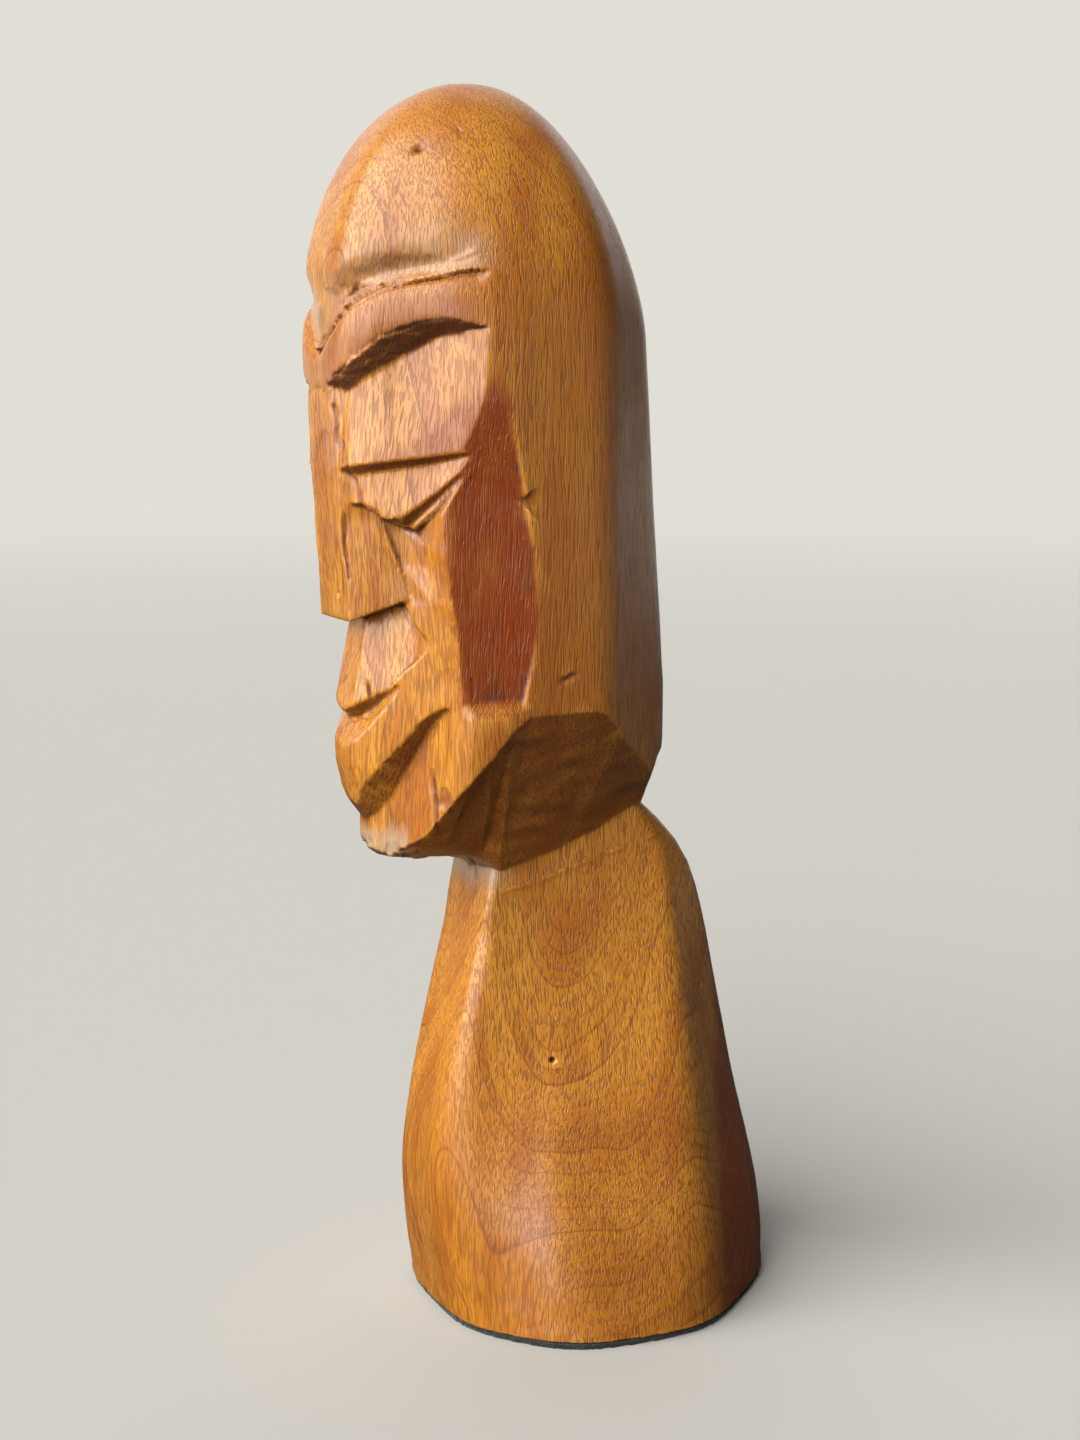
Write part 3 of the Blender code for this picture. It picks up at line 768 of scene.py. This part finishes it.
def wood_colour(tree, look, colour, mm, blots, masks):
    """The grain's colour with tones, patches, painted shade towards the foot, worn edges with a painted
    highlight, torn wood, end grain and hollows darkened partly as painted shade, and dirt laid over it.
    """
    russet, hollow, edge, torn, end_grain_and_shade, grey_and_scoop_shade, rosy, amber = masks
    wide = cloud(tree, mm, (26, 26, 40), 1)
    height = add(tree, "SeparateXYZ", ((0, mm),)).outputs["Z"]
    deep_amber = tuple(0.85 * c for c in look.amber)
    pale = tuple(min(1.0, 1.25 * c + 0.02) for c in look.honey)

    def blotched(mask, least, most, start=0.3):
        return times(tree, mask, fade(tree, blots, start, 0.6, least, most))

    for share, tint, blend in (
            (fade(tree, wide, 0.4, 0.75, 0.0, 0.30), look.amber, "MIX"),
            (times(tree, amber, 0.45), deep_amber, "MIX"),
            # Painted shade: the wood multiplied darker from 60 mm down to 10 mm
            (fade(tree, height, 60, 10), LOW_PAINTED_SHADE, "MULTIPLY"),
            (blotched(rosy, 0.45, 0.75), ROSY, "MIX"),
            (blotched(russet, 0.80, 1.0, 0.25), look.russet, "MIX"),
            # Greyed neck wood and painted shade in the scoop above the brow
            (blotched(grey_and_scoop_shade, 0.60, 0.92), GREY_AND_SHADE, "MIX"),
            # End grain facing down, darkened also as painted shade
            (times(tree, end_grain_and_shade, 0.90), END_GRAIN_AND_SHADE_TINT, "MULTIPLY"),
            # Worn edges and a painted highlight: convex edges mixed towards paler honey
            (times(tree, edge, 0.50), pale, "MIX"),
            (times(tree, torn, 0.70), TORN, "MIX"),
            # Dirt and painted shade in the hollows and under the brow
            (times(tree, hollow, 0.90), DIRT_AND_SHADE, "MIX")):
        colour = mix(tree, share, colour, rgba(tint), blend)
    return colour


def varnished_wood(look):
    """Open-pored honey wood under thin varnish, with russet patches, and dirt and painted shade in the cuts.
    """
    surface, tree, shader = new_surface("varnished_wood")
    place = add(tree, "TexCoord").outputs["Object"]
    grain = laid_grain(tree, place, look)
    mm = in_millimetres(tree, place)
    blots = cloud(tree, mm, (3, 3, 6), 2)
    masks = painted_masks(tree)
    russet, hollow, _, torn = masks[:4]
    colour = wood_colour(tree, look, grain["Colour"], mm, blots, masks)
    tree.links.new(colour, shader.inputs["Base Color"])

    rough = maths(tree, "ADD", fade(tree, blots, 0.3, 0.7, *ROUGHNESS), grain["Shine"])
    open_wood = maths(tree, "MAXIMUM", torn, hollow)
    rough = maths(tree, "ADD", rough, times(tree, open_wood, OPEN_WOOD_ROUGHER))
    rough = maths(tree, "SUBTRACT", rough, times(tree, russet, RUSSET_SMOOTHER))
    tree.links.new(rough, shader.inputs["Roughness"])
    coat = maths(tree, "SUBTRACT", COAT, times(tree, russet, RUSSET_COAT_LOSS))
    tree.links.new(coat, shader.inputs["Coat Weight"])
    relief = add(tree, "Bump", (("Height", grain["Height"]), ("Strength", PORE_RELIEF_STRENGTH),
                                ("Distance", PORE_RELIEF * MM)))
    tree.links.new(relief.outputs["Normal"], shader.inputs["Normal"])
    shader.inputs["Specular IOR Level"].default_value = 0.5
    shader.inputs["Coat Roughness"].default_value = COAT_ROUGHNESS
    surface.diffuse_color = rgba(look.honey)
    return surface


def black_felt(look):
    """Matt felt with a short uneven pile."""
    surface, tree, shader = new_surface("black_felt")
    fluff = cloud(tree, in_millimetres(tree, add(tree, "TexCoord").outputs["Object"]), 0.5, 4, 0.7)
    lighter = tuple(2.6 * c for c in look.colour)
    tree.links.new(mix(tree, fade(tree, fluff, 0.45, 0.75), rgba(look.colour), rgba(lighter)),
                   shader.inputs["Base Color"])
    relief = add(tree, "Bump", (("Height", fluff), ("Strength", 0.9), ("Distance", 0.3 * MM)))
    tree.links.new(relief.outputs["Normal"], shader.inputs["Normal"])
    shader.inputs["Roughness"].default_value = 0.95
    shader.inputs["Specular IOR Level"].default_value = 0.15
    shader.inputs["Sheen Weight"].default_value = 0.25
    shader.inputs["Sheen Roughness"].default_value = 0.6
    surface.diffuse_color = rgba(look.colour)
    return surface


def pale_floor(look):
    """Matt floor that goes over into the backdrop's colour far away."""
    surface, tree, shader = new_surface("pale_floor")
    away = measure(tree, "LENGTH", add(tree, "TexCoord").outputs["Object"])
    far = fade(tree, away, *FLOOR_FADE)
    black = (0.0, 0.0, 0.0, 1.0)
    dim = tuple(look.bounce * c for c in look.floor)
    seen = add(tree, "LightPath").outputs["Is Camera Ray"]
    near = mix(tree, seen, rgba(dim), rgba(look.floor))
    tree.links.new(mix(tree, far, near, black), shader.inputs["Base Color"])
    tree.links.new(mix(tree, far, black, rgba(look.backdrop)), shader.inputs["Emission Color"])
    shader.inputs["Emission Strength"].default_value = 1.0
    shader.inputs["Roughness"].default_value = 0.9
    shader.inputs["Specular IOR Level"].default_value = 0.0
    return surface


class BUST_OT_carve_wood(bpy.types.Operator):
    """Carve and varnish the wood over the solid bust"""
    bl_idname = "bust.carve_wood"
    bl_label = "Carve wood"

    def execute(self, context):
        look = context.scene.bust_look
        wood = copy_of("bust", "carved_wood")
        fine_blank(wood, look)
        points, normals = points_of(wood), normals_of(wood)
        depth = cut_depths(points, normals) + hand_marks(points, normals, look)
        place_points(wood, points - normals * depth[:, None])
        thin_out(wood, look.triangles)
        paint_masks(wood)
        only(wood)
        bpy.ops.object.shade_smooth()
        wood.data.materials.append(varnished_wood(look))
        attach(wood, "root")
        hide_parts("bust")
        return {"FINISHED"}


class BUST_OT_felt_pad(bpy.types.Operator):
    """Ruffle the edge of the felt pad"""
    bl_idname = "bust.felt_pad"
    bl_label = "Felt pad"

    def execute(self, context):
        look = context.scene.felt_look
        pad = copy_of("felt_pad", "felt_under_foot")
        step = pad.modifiers.new("even_mesh", "REMESH")
        step.mode = "VOXEL"
        step.voxel_size = PAD_CELL * MM
        apply_all(pad)
        points, normals = evened_outline(points_of(pad)), normals_of(pad)
        edge = ramp(1 - np.abs(normals[:, 2]), 0.2, 0.6)
        ruffle = look.pile / MM * edge * soft_noise(points, (0.9, 0.9, 0.7), 31)
        points = points + normals * ruffle[:, None]
        low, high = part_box("felt_pad")
        points[:, 2] = np.clip(points[:, 2], low[2] / MM, high[2] / MM)
        place_points(pad, points)
        only(pad)
        bpy.ops.object.shade_smooth_by_angle(angle=math.radians(50))
        pad.data.materials.append(black_felt(look))
        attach(pad, "root")
        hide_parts("felt_pad")
        return {"FINISHED"}


def room_light(look):
    """World with one large soft window in front of the figure, a weak fill and dim light all round."""
    world = bpy.data.worlds.new("room_light")
    world.use_nodes = True
    tree = world.node_tree
    sky = tree.nodes["Background"]
    shape = Vector((1.0, 1.0, WINDOW_SHAPE))
    way = vectors(tree, "MULTIPLY", add(tree, "TexCoord").outputs["Generated"], shape)
    way = vectors(tree, "NORMALIZE", way)
    middle = (TOWARDS_WINDOW * shape).normalized()
    near = measure(tree, "DOT_PRODUCT", way, middle)
    glow = fade(tree, near, *WINDOW_EDGE, look.room, look.window)
    behind = measure(tree, "DOT_PRODUCT", way, TOWARDS_FILL)
    glow = maths(tree, "ADD", glow, fade(tree, behind, *FILL_EDGE, 0.0, look.fill))
    seen = add(tree, "LightPath").outputs["Is Camera Ray"]
    tree.links.new(mix(tree, seen, rgba(DAYLIGHT), rgba(look.backdrop)), sky.inputs["Color"])
    shown = maths(tree, "ADD", times(tree, glow, maths(tree, "SUBTRACT", 1.0, seen)), seen)
    tree.links.new(shown, sky.inputs["Strength"])
    return world


class BUST_OT_studio(bpy.types.Operator):
    """Set up floor, backdrop, lights and camera"""
    bl_idname = "bust.studio"
    bl_label = "Studio"

    def execute(self, context):
        look = context.scene.studio_look
        bpy.ops.object.select_all(action="DESELECT")
        bpy.ops.mesh.primitive_circle_add(vertices=128, radius=FLOOR_RADIUS, fill_type="NGON",
                                          location=(0, 0, 0))
        floor = context.active_object
        floor.name = "studio_floor"
        floor.data.materials.append(pale_floor(look))
        context.scene.world = room_light(look)
        context.scene.view_settings.view_transform = "Standard"

        camera = bpy.data.cameras.new("portrait_camera")
        camera.lens = CAMERA_LENS
        camera.sensor_width = CAMERA_SENSOR
        holder = bpy.data.objects.new("portrait_camera", camera)
        context.scene.collection.objects.link(holder)
        holder.location = CAMERA_PLACE
        holder.rotation_euler = [math.radians(turn) for turn in CAMERA_TURN]
        context.scene.camera = holder
        return {"FINISHED"}


class BUST_PT_sidebar(bpy.types.Panel):
    """Lists the settings and the steps"""
    bl_idname = "BUST_PT_sidebar"
    bl_label = "Wooden bust"
    bl_space_type = "VIEW_3D"
    bl_region_type = "UI"
    bl_category = "Wooden bust"

    def draw(self, context):
        for settings in (context.scene.bust_look, context.scene.felt_look, context.scene.studio_look):
            box = self.layout.box()
            for name in settings.bl_rna.properties.keys():
                if name not in ("rna_type", "name"):
                    box.prop(settings, name)
        for step in STEPS:
            self.layout.operator(step)


SETTINGS = {"bust_look": BustLook, "felt_look": FeltLook, "studio_look": StudioLook}
STEPS = ("bust.carve_wood", "bust.felt_pad", "bust.studio")
CLASSES = (BustLook, FeltLook, StudioLook, BUST_OT_carve_wood, BUST_OT_felt_pad, BUST_OT_studio,
           BUST_PT_sidebar)


def register():
    for kind in CLASSES:
        bpy.utils.register_class(kind)
    for name, kind in SETTINGS.items():
        setattr(bpy.types.Scene, name, PointerProperty(type=kind))


def unregister():
    for name in SETTINGS:
        delattr(bpy.types.Scene, name)
    for kind in reversed(CLASSES):
        bpy.utils.unregister_class(kind)


def main():
    register()
    bpy.ops.bust.carve_wood()
    bpy.ops.bust.felt_pad()
    bpy.ops.bust.studio()


if __name__ == "__main__":
    main()
